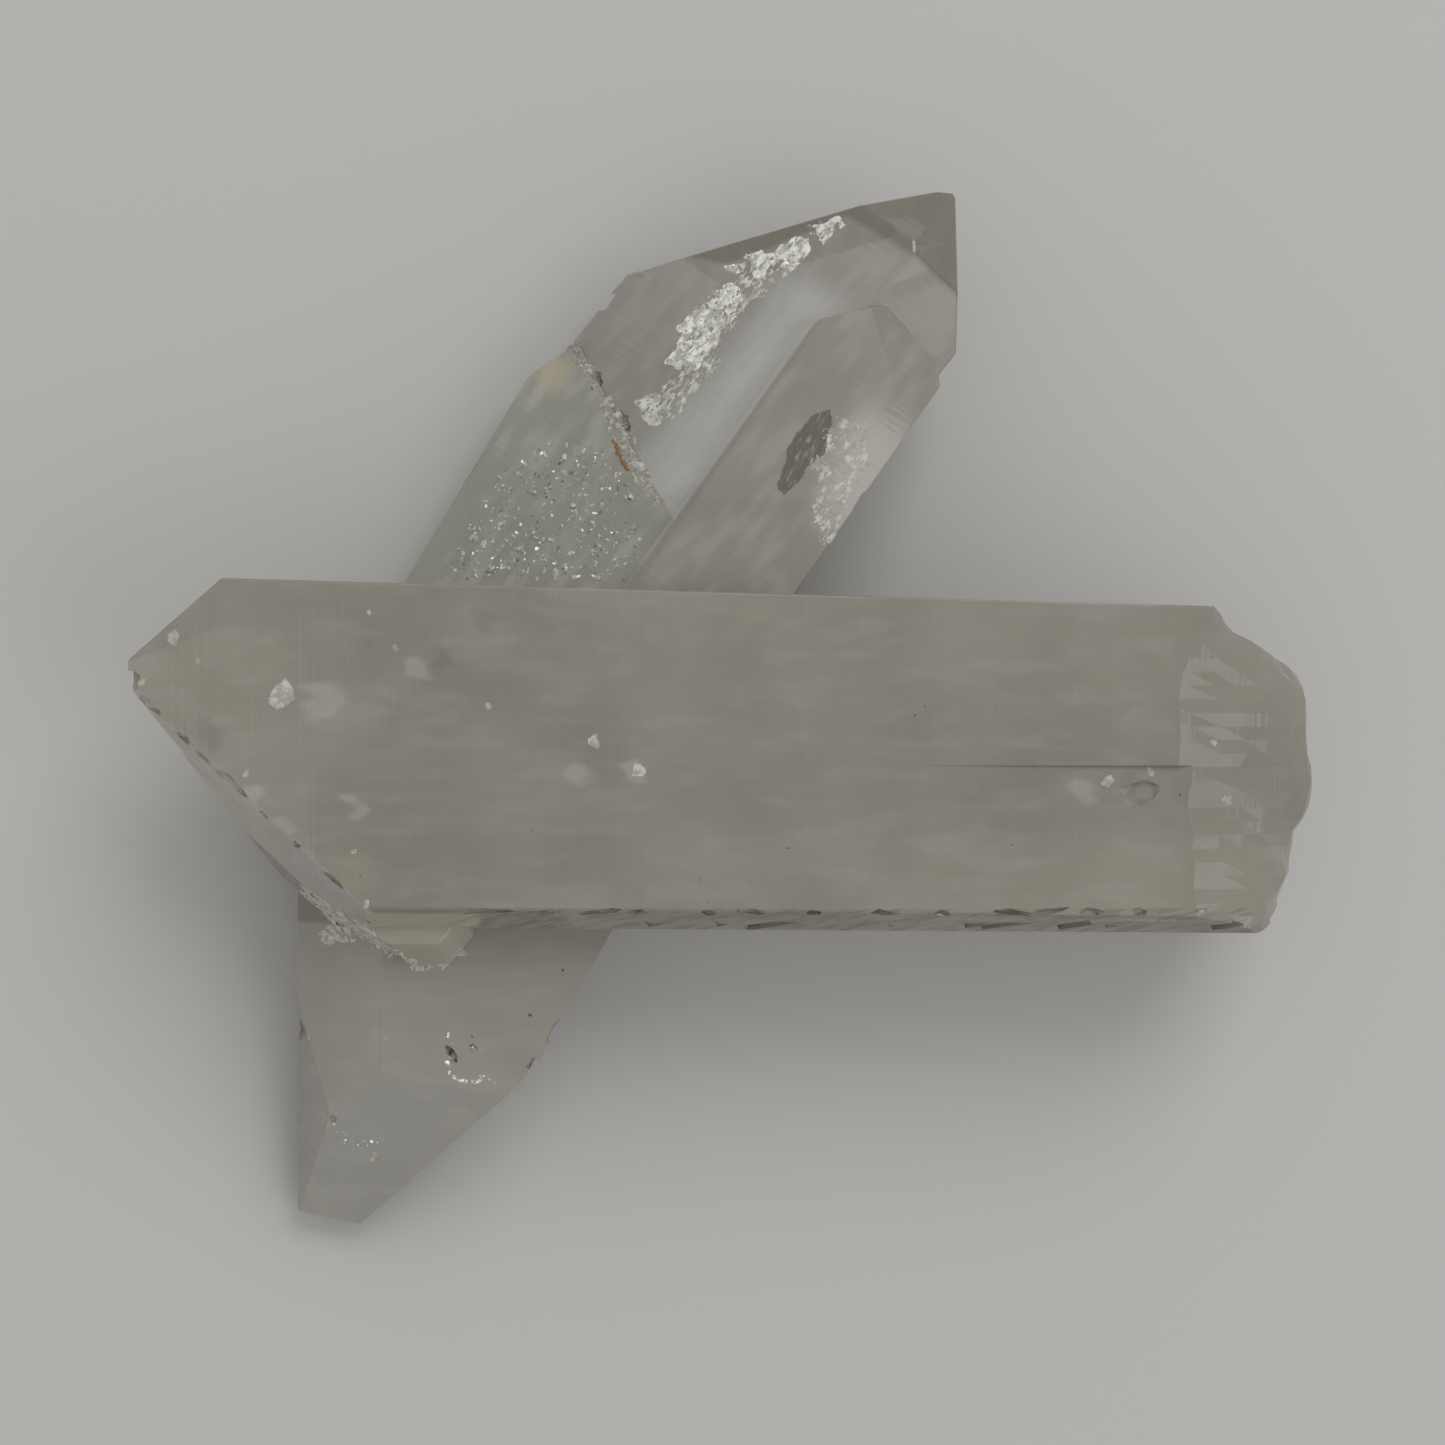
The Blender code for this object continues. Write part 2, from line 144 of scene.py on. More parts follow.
# %% Helpers that add and join shader nodes
class Shading:
    """A short way to build a node tree: each call adds one node and returns its output."""

    def __init__(self, name):
        self.material = bpy.data.materials.new(name)
        self.material.use_nodes = True
        self.tree = self.material.node_tree
        self.shader = self.tree.nodes["Principled BSDF"]
        self.output = self.tree.nodes["Material Output"]

    def link(self, source, target):
        """Join an output to an input, or set the input to a number."""
        if isinstance(source, (int, float)):
            target.default_value = source
        else:
            self.tree.links.new(source, target)

    def place(self, scale=(1, 1, 1), turn=0.0):
        """Object coordinates in millimetres, seen along axes turned about Z, and squeezed by a scale."""
        coordinates = self.tree.nodes.new("ShaderNodeTexCoord")
        mapping = self.tree.nodes.new("ShaderNodeMapping")
        mapping.vector_type = "TEXTURE"
        mapping.inputs["Rotation"].default_value = (0, 0, math.radians(turn))
        mapping.inputs["Scale"].default_value = tuple(MM / part for part in scale)
        self.link(coordinates.outputs["Object"], mapping.inputs["Vector"])
        return mapping.outputs["Vector"]

    def noise(self, vector, scale, detail=3.0, roughness=0.5, distortion=0.0):
        """Cloudy noise from 0 to 1."""
        node = self.tree.nodes.new("ShaderNodeTexNoise")
        node.inputs["Scale"].default_value = scale
        node.inputs["Detail"].default_value = detail
        node.inputs["Roughness"].default_value = roughness
        node.inputs["Distortion"].default_value = distortion
        self.link(vector, node.inputs["Vector"])
        return node.outputs["Fac"]

    def reach(self, vector, azimuth):
        """How far a vector reaches in one direction of the plan."""
        node = self.tree.nodes.new("ShaderNodeVectorMath")
        node.operation = "DOT_PRODUCT"
        self.link(vector, node.inputs[0])
        turn = math.radians(azimuth)
        node.inputs[1].default_value = (math.cos(turn), math.sin(turn), 0)
        return node.outputs["Value"]

    def lines(self, value, scale):
        """Parallel lines of random height along one value."""
        node = self.tree.nodes.new("ShaderNodeTexNoise")
        node.noise_dimensions = "1D"
        node.inputs["Scale"].default_value = scale
        node.inputs["Detail"].default_value = 0
        self.link(value, node.inputs["W"])
        return node.outputs["Fac"]

    def math(self, operation, first, second=0.0, clamp=False):
        """One sum on two values."""
        node = self.tree.nodes.new("ShaderNodeMath")
        node.operation = operation
        node.use_clamp = clamp
        self.link(first, node.inputs[0])
        self.link(second, node.inputs[1])
        return node.outputs[0]

    def between(self, value, low, high, out_low=0.0, out_high=1.0):
        """Rise smoothly from out_low to out_high while the value goes from low to high."""
        node = self.tree.nodes.new("ShaderNodeMapRange")
        node.interpolation_type = "SMOOTHSTEP"
        node.inputs["From Min"].default_value = low
        node.inputs["From Max"].default_value = high
        node.inputs["To Min"].default_value = out_low
        node.inputs["To Max"].default_value = out_high
        self.link(value, node.inputs["Value"])
        return node.outputs["Result"]

    def parts(self, vector):
        """The X, Y and Z of a vector."""
        node = self.tree.nodes.new("ShaderNodeSeparateXYZ")
        self.link(vector, node.inputs[0])
        return node.outputs

    def tint(self, share, first, second):
        """Blend from one colour to another. Either may be a colour or an output."""
        node = self.tree.nodes.new("ShaderNodeMix")
        node.data_type = "RGBA"
        self.link(share, node.inputs[0])
        for color, socket in ((first, node.inputs[6]), (second, node.inputs[7])):
            if isinstance(color, tuple):
                socket.default_value = (*color, 1)
            else:
                self.link(color, socket)
        return node.outputs[2]

    def either(self, share, first, second):
        """The first vector where the share is 0, the second where it is 1."""
        node = self.tree.nodes.new("ShaderNodeMix")
        node.data_type = "VECTOR"
        self.link(share, node.inputs[0])
        self.link(first, node.inputs[4])
        self.link(second, node.inputs[5])
        return node.outputs[1]

    def bump(self, height, strength, distance):
        """Raise the surface by a height pattern."""
        node = self.tree.nodes.new("ShaderNodeBump")
        node.inputs["Strength"].default_value = strength
        node.inputs["Distance"].default_value = distance
        self.link(height, node.inputs["Height"])
        return node.outputs["Normal"]


# %% [markdown]
# ### Which crystal is which
#
# The group is one solid with one material, but its crystals differ in colour and clearness. Separate
# materials would need cuts in the solid. So a crystal is marked by straight lines in plan instead: a
# mask is 1 beyond its line, and masks are multiplied where both lines count.

# %% Where one crystal ends and the next begins
quartz = Shading("veined quartz")
shader = quartz.shader
space = quartz.place()
where = quartz.parts(space)


def beyond(x, y, azimuth, soft=0.6):
    """1 beyond a line in plan that passes through a layout point, 0 on the near side."""
    turn = math.radians(azimuth)
    slant = math.cos(turn) * (x + SHIFT.x) + math.sin(turn) * (y + SHIFT.y)
    return quartz.between(quartz.reach(space, azimuth), slant - soft / 2, slant + soft / 2)


def both(first, second):
    """1 only where both masks are 1."""
    return quartz.math("MULTIPLY", first, second)


def other(mask):
    """The rest of the cluster."""
    return quartz.math("SUBTRACT", 1.0, mask)


behind = beyond(0, 9.95, 88.4, 0.3)
in_front = beyond(0, -16.1, 270, 0.5)
right_of_edge = beyond(-7.3, 10.6, -35.4, 0.4)
small_crystal = both(both(behind, right_of_edge), beyond(12.8, 32.6, 221.6, 0.4))
small_crystal = both(small_crystal, beyond(7.4, 31.2, 287, 0.4))
before_seam = both(both(behind, beyond(-5.6, 18.9, 209, 0.4)), other(right_of_edge))
rear_crystal = both(both(behind, other(small_crystal)), other(before_seam))
print("Region nodes:", len(quartz.tree.nodes))

# %% [markdown]
# ### Milk in the glass
#
# Milkiness comes from veils too small to see. Real scattering inside the solid would be slow to
# render and would be lost in the exported model. So a share of the shader is plain diffuse colour, and
# only the rest lets light through. Two noises, one broad and one drawn out along each crystal, vary
# that share.

# %% Clouds, streaks and clearness
clouds = quartz.noise(space, 0.11, 1.0, 0.5)
along = quartz.either(behind, quartz.place((0.4, 1.1, 0.7)), quartz.place((0.4, 1.1, 0.7), 52))
mottle = quartz.noise(along, 0.55, 1.0, 0.7)
soft_veil = quartz.between(clouds, 0.34, 0.70)
fine_veil = quartz.between(mottle, 0.40, 0.76)


def weigh(base, *parts):
    """A base number plus each mask times its own weight."""
    total = base
    for mask, weight in parts:
        step = quartz.math("MULTIPLY_ADD", mask, weight)
        quartz.link(total, step.node.inputs[2])
        total = step
    return total


HAZE = 0.54
haze = weigh(HAZE, (rear_crystal, -0.14), (small_crystal, -0.06), (before_seam, -0.04))
hazy_share = quartz.math("MULTIPLY", haze, weigh(0.94, (soft_veil, 0.08), (fine_veil, 0.07)))
quartz.link(quartz.math("SUBTRACT", 1.0, hazy_share, True), shader.inputs["Transmission Weight"])

# %% [markdown]
# ### Colour
#
# The main crystal is grey-brown with smoky and pale smudges. The crystal in front is a little paler,
# and painted light makes its left facet and its front slope paler still. The root half of the rear
# crystal is greenish. Its tip has two facets with painted dark reflections, and painted light brightens
# one side of it and one side of the small crystal. Each tint is laid over the last one through its mask.

# %% Colour of the main crystal and of the one in front
taupe = quartz.tint(soft_veil, (0.461, 0.429, 0.367), (0.480, 0.448, 0.387))
taupe = quartz.tint(fine_veil, taupe, (0.486, 0.456, 0.396))
color = quartz.tint(in_front, taupe, (0.535, 0.510, 0.450))
# Painted light: the left facet and the front slope of the crystal in front get paler tints of their own, so
# their shading against its top is painted into the colour.
left_flank_light = both(in_front, beyond(-26.9, 0, 180, 0.3))
color = quartz.tint(left_flank_light, color, (0.650, 0.625, 0.555))
front_slope_light = both(beyond(-26.9, -27.8, 260, 0.3), beyond(-31.4, -31.6, -49.8, 0.3))
front_slope_light = both(front_slope_light, beyond(-31.4, -31.6, -22.4, 0.3))
color = quartz.tint(both(in_front, front_slope_light), color, (0.640, 0.620, 0.565))
print("Nodes after the main colours:", len(quartz.tree.nodes))

# %% [markdown]
# ### Smudges
#
# Some marks under the polished faces have no edge at all. A smudge is a tint that fades with the
# distance from its middle, measured in plan. Smudges of one radius share one fade, so a dozen of them
# cost little.

# %% A helper for smudges
TOP = 19.6
SMUDGE_RIM = 1.15
SMUDGE_CORE = 0.45


def smudges(spots, radius, height=TOP):
    """Soft irregular patches of one radius: columns and rows in the view, on a level face at a height."""
    scale = VIEW * LENS / SENSOR / (CAMERA_HEIGHT / MM - height)
    nearest = 1000.0
    for column, row in spots:
        away = quartz.tree.nodes.new("ShaderNodeVectorMath")
        away.operation = "DISTANCE"
        quartz.link(plan, away.inputs[0])
        middle = ((column - VIEW / 2) / scale + SHIFT.x, (VIEW / 2 - row) / scale + SHIFT.y, 0)
        away.inputs[1].default_value = middle
        nearest = quartz.math("MINIMUM", away.outputs["Value"], nearest)
    return quartz.between(nearest, SMUDGE_RIM * radius / scale, SMUDGE_CORE * radius / scale)


# Plan coordinates that are shaken a little, so that the smudges get ragged edges.
SHAKE = (("X", 4.0), ("Y", -3.2))
plan_node = quartz.tree.nodes.new("ShaderNodeCombineXYZ")
for axis, strength in SHAKE:
    shifted = quartz.math("MULTIPLY_ADD", quartz.math("SUBTRACT", mottle, 0.5), strength)
    quartz.link(where[axis], shifted.node.inputs[2])
    quartz.link(shifted, plan_node.inputs[axis])
plan = plan_node.outputs[0]

# %% Smoky, pale and olive smudges
SMOKY_SPOTS = ((437, 658), (487, 623), (210, 734), (1138, 790))
PALE_SPOTS = (
    (416, 668), (585, 779), (636, 772), (352, 807), (258, 796), (280, 828), (302, 858), (1090, 795),
)
smoky = smudges(SMOKY_SPOTS, 15)
pale = quartz.math("MAXIMUM", smudges(PALE_SPOTS, 13), smudges(((326, 705),), 26))
olive = smudges(((352, 880),), 32)
color = quartz.tint(quartz.math("MULTIPLY", smoky, 0.65), color, (0.385, 0.360, 0.305))
color = quartz.tint(quartz.math("MULTIPLY", pale, 0.65), color, (0.640, 0.630, 0.585))
color = quartz.tint(quartz.math("MULTIPLY", olive, 0.60), color, (0.505, 0.485, 0.370))

# %% The steep face along the point and the ledge
# Both are paler and more yellow than the top. On the steep face the paleness is a painted reflection
# of light inside the crystal; the ledge has a yellowish tint. They lie above the level of the lower
# crystal.
LOWER_TOP = 13.0
upper = quartz.between(where["Z"], LOWER_TOP + 0.1, LOWER_TOP + 0.3)
steep_front_reflection = both(upper, beyond(-19.9, -21.2, 226.8, 0.3))
ledge = both(upper, both(beyond(0, -14.7, 270, 0.4), beyond(-18.8, 0, 180, 1.0)))
color = quartz.tint(steep_front_reflection, color, (0.750, 0.720, 0.640))
color = quartz.tint(ledge, color, (0.700, 0.675, 0.560))

# %% The broken root
# It is a little darker and more mottled.
root = beyond(35.5, 0, 0, 2.4)
root_tint = quartz.tint(quartz.between(mottle, 0.40, 0.60), (0.455, 0.425, 0.365), (0.420, 0.395, 0.335))
color = quartz.tint(root, color, root_tint)

# %% The narrow worn face along the front edge
# Faint brown streaks slant across it.
narrow_face = both(beyond(0, -14.3, 270, 0.2), beyond(-20, 0, 0, 6))
narrow_face = both(narrow_face, quartz.between(where["Z"], 15.2, 16.4))
streaks = quartz.noise(quartz.place((0.35, 3.0, 0.6), 14), 1.0, 1.0, 0.6)
stain = both(narrow_face, quartz.between(streaks, 0.44, 0.66, 0.0, 0.65))
color = quartz.tint(stain, color, (0.33, 0.265, 0.215))

# %% Colour of the crystals behind
green_grey = quartz.tint(fine_veil, (0.55, 0.553, 0.485), (0.66, 0.663, 0.595))
# Painted reflected light: the rear crystal's face along the small crystal is tinted nearly white, in place
# of light thrown back by its rear faces.
reflected_light_side = both(beyond(0.4, 28.9, -39.5, 4.6), other(beyond(14.5, 34.3, -10, 2.0)))
reflected_light_side = both(reflected_light_side, other(beyond(8.3, 33.8, 52, 4.0)))
# Painted dark reflections: two facets at the rear crystal's tip get a dark tint.
dark_reflection_facet = both(beyond(-2.3, 37.5, 73.6, 0.5), beyond(0.4, 36.7, 109.6, 0.5))
dark_reflection_tip = beyond(9.7, 40.2, 53.4, 0.7)
rear = quartz.tint(fine_veil, (0.590, 0.570, 0.520), (0.635, 0.620, 0.575))
rear = quartz.tint(reflected_light_side, rear, (0.90, 0.90, 0.875))
rear = quartz.tint(quartz.math("MAXIMUM", dark_reflection_facet, dark_reflection_tip), rear, (0.42, 0.395, 0.34))
# Painted light: the lower right side of the small crystal, which leans towards the side light, is tinted
# pale.
pale_side_light = both(beyond(9.1, 21.5, -23.5, 2.6), beyond(11.0, 25.0, 235, 5.0))
pale_side_light = both(pale_side_light, beyond(9.2, 14.4, 55, 5.0))
small = quartz.tint(fine_veil, (0.515, 0.490, 0.430), (0.58, 0.558, 0.505))
small = quartz.tint(pale_side_light, small, (0.78, 0.77, 0.71))
color = quartz.tint(rear_crystal, color, rear)
color = quartz.tint(before_seam, color, green_grey)
rust_haze = smudges(((553, 372),), 24, 7)
color = quartz.tint(quartz.math("MULTIPLY", rust_haze, 0.8), color, (0.76, 0.69, 0.50))
color = quartz.tint(small_crystal, color, small)
quartz.link(color, shader.inputs["Base Color"])
print("Nodes after all colours:", len(quartz.tree.nodes))

# %% [markdown]
# ### Polish, steps and absorption
#
# Quartz breaks light more than window glass: its IOR is 1.544. Its faces are glossy, a little duller
# where they are mottled. The finest growth steps are too low to model, so a bump of parallel lines
# across each crystal stands for them. The weak brown of the solid is a volume absorption, so thick
# places get darker than thin ones.

# %% Polish and steps
quartz.link(quartz.between(mottle, 0.40, 0.75, 0.05, 0.17), shader.inputs["Roughness"])
shader.inputs["IOR"].default_value = 1.544

axis = quartz.math("SUBTRACT", quartz.reach(space, 52), where["X"])
axis = quartz.math("MULTIPLY_ADD", axis, behind)
quartz.link(where["X"], axis.node.inputs[2])
steps = quartz.lines(axis, 2.75)
quartz.link(quartz.bump(steps, 0.3, 0.00007), shader.inputs["Normal"])

absorb = quartz.tree.nodes.new("ShaderNodeVolumeAbsorption")
absorb.inputs["Color"].default_value = (0.80, 0.775, 0.72, 1)
absorb.inputs["Density"].default_value = 35
quartz.tree.links.new(absorb.outputs["Volume"], quartz.output.inputs["Volume"])

cluster.material_slots[0].material = quartz.material
print("Quartz shader nodes:", len(quartz.tree.nodes))

# %% [markdown]
# ## Finding a place on the crystals
#
# The marks on the crystals have to sit exactly where they are seen. They could be moved there by hand,
# but a ray is exact: it goes from the camera through a point of the view and meets the crystal's skin.
# The mark goes there, so it also lies on the crystal when it is seen from any other side.

# %% A ray from the camera to the crystals
bpy.context.view_layer.update()
skin = BVHTree.FromObject(cluster, bpy.context.evaluated_depsgraph_get())
EYE = at(0, 0, CAMERA_HEIGHT / MM)


def seen(column, row, depth=0.0):
    """The place under a point of the view, moved into the crystal by a depth, and the face's normal."""
    ahead = Vector((column - VIEW / 2, VIEW / 2 - row, -VIEW * LENS / SENSOR)).normalized()
    place, normal, face, distance = skin.ray_cast(EYE, ahead)
    if place is None:
        return None, None
    return place - normal * depth * MM, normal


def in_view(place):
    """The point of the view where a place is seen."""
    offset = place - EYE
    scale = VIEW * LENS / SENSOR / -offset.z
    return VIEW / 2 + offset.x * scale, VIEW / 2 - offset.y * scale


print("A ray by the main crystal's point ends at", tuple(round(part, 4) for part in seen(140, 690)[0]))


# %% Selecting and finishing
def only(thing):
    """Select one object alone and make it the active one."""
    bpy.ops.object.select_all(action="DESELECT")
    thing.select_set(True)
    bpy.context.view_layer.objects.active = thing


def apply_all(thing):
    """Make every modifier on an object real."""
    only(thing)
    for modifier in list(thing.modifiers):
        bpy.ops.object.modifier_apply(modifier=modifier.name)


def finish(thing, name, material):
    """Put a piece's place into its mesh, and let it ride with the cluster."""
    only(thing)
    bpy.ops.object.transform_apply(location=True, rotation=True, scale=True)
    thing.name = name
    thing.data.materials.clear()
    thing.data.materials.append(material)
    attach(thing, "root")
    print(name, "has", len(thing.data.polygons), "faces")


def inside(column, row, outline):
    """Whether a point of the view lies inside a closed outline."""
    odd = False
    last = outline[-1]
    for corner in outline:
        if (corner[1] > row) != (last[1] > row):
            crossing = last[0] + (row - last[1]) / (corner[1] - last[1]) * (corner[0] - last[0])
            if column < crossing:
                odd = not odd
        last = corner
    return odd


# %% [markdown]
# ## White veils
#
# A veil is a healed crack: a thin sheet full of tiny hollows, white where it faces the light. It could be
# painted on the crystal, but then it would have no ragged rim. So each veil is a fine grid laid on the
# crystal face and fitted to it by a shrinkwrap modifier. The faces outside its outline and in its holes
# are deleted, it is crumpled by a displace modifier, and it gets a hair of thickness. It lies in the
# skin, because in crystal as milky as this one a deeper sheet would hardly be seen.


# %% A torn patch of sheet
def crumple(name, size, depth):
    """A cloud pattern that bends sheets."""
    texture = bpy.data.textures.new(name, "CLOUDS")
    texture.noise_scale = size * MM
    texture.noise_depth = depth
    return texture


FINE_CRUMPLE = crumple("fine crumple", 0.6, 3)


# A patch stands this proud of the face, in millimetres, so that it is lit directly.
PROUD = 0.012
THICKNESS = 0.02
# The grid is wider than its outline by this factor, and a millimetre is about 12 steps of the view.
MARGIN = 1.6
VIEW_PER_MM = 12
# Size of the bays in a torn rim, and how far holes are drawn out along the streaks.
TEAR_SIZE = 0.9
STREAK_SQUEEZE = 0.45
# Faces are selected in code, so edit mode has to work on faces.
bpy.context.tool_settings.mesh_select_mode = (False, False, True)


def torn_patch(outline, cell, tear, hole, streak=0.0, fineness=1.8):
    """A sheet on the crystal's skin, cut to an outline of the view, with torn edges and holes."""
    columns = [corner[0] for corner in outline]
    rows = [corner[1] for corner in outline]
    middle, normal = seen((min(columns) + max(columns)) / 2, (min(rows) + max(rows)) / 2)
    widest = max(max(columns) - min(columns), max(rows) - min(rows), 4)
    span = MARGIN * widest / VIEW_PER_MM * MM
    steps = round(span / (cell * MM))
    bpy.ops.object.select_all(action="DESELECT")
    turn = normal.to_track_quat("Z", "Y").to_euler()
    bpy.ops.mesh.primitive_grid_add(
        x_subdivisions=steps, y_subdivisions=steps, size=span, location=middle, rotation=turn
    )
    sheet = bpy.context.object
    bpy.ops.object.transform_apply(location=True, rotation=True, scale=True)
    fit = sheet.modifiers.new("fit", "SHRINKWRAP")
    fit.target = cluster
    fit.wrap_mode = "ABOVE_SURFACE"
    fit.offset = PROUD * MM
    apply_all(sheet)
    grain = Matrix.Rotation(-math.radians(streak), 3, "Z")
    for face in sheet.data.polygons:
        column, row = in_view(face.center)
        here = face.center / MM
        column += tear * noise.noise(here * TEAR_SIZE)
        row += tear * noise.noise(here * TEAR_SIZE + Vector((7.7, 0, 0)))
        drawn = grain @ here
        drawn.x *= STREAK_SQUEEZE
        torn = noise.fractal(drawn * fineness, 0.8, 2.0, 3) > hole
        face.select = torn or not inside(column, row, outline)
    bpy.ops.object.mode_set(mode="EDIT")
    bpy.ops.mesh.delete(type="FACE")
    bpy.ops.object.mode_set(mode="OBJECT")
    bend = sheet.modifiers.new("bend", "DISPLACE")
    bend.texture = FINE_CRUMPLE
    bend.texture_coords = "LOCAL"
    bend.strength = PROUD * MM
    body = sheet.modifiers.new("thickness", "SOLIDIFY")
    body.thickness = THICKNESS * MM
    apply_all(sheet)
    return sheet


def join_all(things):
    """Join several objects into the first one."""
    bpy.ops.object.select_all(action="DESELECT")
    for thing in things:
        thing.select_set(True)
    bpy.context.view_layer.objects.active = things[0]
    bpy.ops.object.join()
    return bpy.context.object


# %% Finish of the veils
def frosty(name, color, clear, roughness, grain, glow=0.0, shade=0.6):
    """White grains in clear quartz. The glow stands for light that reaches them through the crystal."""
    frost = Shading(name)
    mottle = frost.noise(frost.place(), grain, 2.0, 0.65)
    darker = tuple(shade * part for part in color)
    tint = frost.tint(frost.between(mottle, 0.38, 0.60), darker, color)
    frost.link(tint, frost.shader.inputs["Base Color"])
    passing = frost.between(mottle, 0.38, 0.66, min(1.0, clear + 0.25), max(0.0, clear - 0.2))
    frost.link(passing, frost.shader.inputs["Transmission Weight"])
    frost.shader.inputs["Roughness"].default_value = roughness
    frost.shader.inputs["IOR"].default_value = 1.3
    frost.link(frost.bump(mottle, 0.5, 0.0002), frost.shader.inputs["Normal"])
    frost.shader.inputs["Emission Color"].default_value = (*color, 1)
    frost.shader.inputs["Emission Strength"].default_value = glow
    # So weak a glow needs no light of its own in the render.
    frost.material.cycles.emission_sampling = "NONE"
    return frost.material


BRIGHT_VEIL = frosty("bright veil", (0.92, 0.92, 0.865), 0.0, 0.4, 1.5, 0.0, 0.66)
THIN_VEIL = frosty("thin veil", (0.70, 0.71, 0.64), 0.10, 0.5, 1.2, 0.0, 0.85)

# %% The bright veil in the clear crystal behind
BRIGHT_OUTLINES = (
    (
        (683, 320), (700, 312), (713, 313), (728, 323), (724, 337), (713, 348), (708, 362), (694, 372),
        (680, 370), (669, 362), (671, 351), (680, 337),
    ),
    (
        (700, 303), (711, 292), (728, 284), (739, 288), (745, 298), (739, 312), (728, 320), (717, 314),
        (703, 309),
    ),
    ((743, 254), (753, 251), (773, 253), (777, 261), (770, 270), (762, 278), (753, 277), (749, 264)),
    ((725, 264), (734, 262), (742, 266), (742, 275), (733, 276), (726, 270)),
    ((773, 250), (784, 240), (801, 240), (812, 242), (806, 250), (798, 261), (787, 271), (778, 264)),
    ((805, 228), (820, 221), (837, 219), (841, 222), (832, 233), (822, 242), (812, 235)),
)
veils = [torn_patch(outline, 0.08, 9.0, 0.40, 52, 3.6) for outline in BRIGHT_OUTLINES]
finish(join_all(veils), "bright_veil", BRIGHT_VEIL)

# %% The thin greenish veil round it
THIN_OUTLINES = (
    ((638, 400), (655, 393), (664, 405), (661, 420), (650, 428), (642, 420)),
    ((655, 392), (676, 368), (700, 372), (716, 352), (724, 362), (700, 392), (676, 416), (660, 424)),
    (
        (690, 316), (705, 300), (735, 280), (790, 250), (800, 262), (756, 300), (735, 326), (716, 350),
        (700, 345),
    ),
)
THIN_HOLES = (0.4, -0.1, -0.1)
veils = [
    torn_patch(outline, 0.10, 8.0, hole, 52, 3.6)
    for outline, hole in zip(THIN_OUTLINES, THIN_HOLES)
]
finish(join_all(veils), "thin_veil", THIN_VEIL)

# %% The pale veil in the small crystal
PALE_OUTLINE = (
    (813, 462), (826, 440), (838, 417), (862, 425), (874, 448), (856, 500), (828, 548), (811, 530),
    (820, 490),
)
PALE_VEIL = frosty("pale veil", (0.60, 0.60, 0.54), 0.10, 0.5, 1.2, 0.0, 0.9)
finish(torn_patch(PALE_OUTLINE, 0.10, 10.0, -0.1, 62, 3.0), "pale_veil", PALE_VEIL)

# %% [markdown]
# ## The dark crack in the small crystal
#
# Some cracks send the light away instead of back, so they look dark and glossy, with fine feathers at
# one side. It is a leaf-shaped sheet like the veils, smoother, with a dark finish that has streaks
# across it.

# %% The dark crack
crack = Shading("dark crack")
feathers = crack.noise(crack.place((0.8, 4.0, 1), 62), 0.8, 2.0, 0.7, 0.6)
crack.link(
    crack.tint(crack.between(feathers, 0.55, 0.75), (0.175, 0.155, 0.132), (0.33, 0.31, 0.275)),
    crack.shader.inputs["Base Color"],
)
crack.link(crack.between(feathers, 0.4, 0.7, 0.10, 0.45), crack.shader.inputs["Roughness"])
crack.link(crack.between(feathers, 0.5, 0.7, 0.15, 0.0), crack.shader.inputs["Transmission Weight"])
crack.link(crack.bump(feathers, 0.6, 0.0003), crack.shader.inputs["Normal"])

LEAF = (
    (784, 497), (780, 488), (780, 474), (787, 454), (798, 432), (812, 418), (830, 411), (831, 424),
    (829, 436), (821, 457), (807, 470), (796, 484),
)
finish(torn_patch(LEAF, 0.10, 5.0, 0.6, 62), "dark_crack", crack.material)

# %% [markdown]
# ## Grains and flakes
#
# The root half of the rear crystal is full of small bright and brown grains, the main crystal has a
# few white flakes, and specks of dirt lie on the faces. A flake is modelled from a ball: squashed and
# made irregular in edit mode. It is then copied to each place, every copy with its own mesh, and the
# copies of one kind are joined in one piece.


# %% One flake
def model_flake(name, thickness, seed):
    """A small irregular flake, one millimetre across."""
    bpy.ops.object.select_all(action="DESELECT")
    bpy.ops.mesh.primitive_ico_sphere_add(subdivisions=1, radius=0.5 * MM, location=(0, 0, 0))
    flake = bpy.context.object
    bpy.ops.object.mode_set(mode="EDIT")
    bpy.ops.mesh.select_all(action="SELECT")
    bpy.ops.transform.resize(value=(1.0, 0.8, thickness))
    bpy.ops.transform.vertex_random(offset=0.12 * MM, seed=seed)
    bpy.ops.object.mode_set(mode="OBJECT")
    flake.name = name
    return flake


def scatter(model, name, spots, material):
    """Copies of a model at each spot: a place, a normal, a turn, and a size as a share of 1 mm."""
    copies = []
    for place, normal, turn, size in spots:
        copy = model.copy()
        copy.data = model.data.copy()
        facing = normal.to_track_quat("Z", "Y")
        spin = Matrix.Rotation(turn, 4, "Z")
        stretch = Matrix.Diagonal((*size, 1))
        copy.matrix_world = Matrix.Translation(place) @ facing.to_matrix().to_4x4() @ spin @ stretch
        bpy.context.collection.objects.link(copy)
        copies.append(copy)
    finish(join_all(copies), name, material)


thin_flake = model_flake("flake model", 0.25, 3)
thick_grain = model_flake("grain model", 0.7, 8)
print("A flake has", len(thin_flake.data.polygons), "faces")


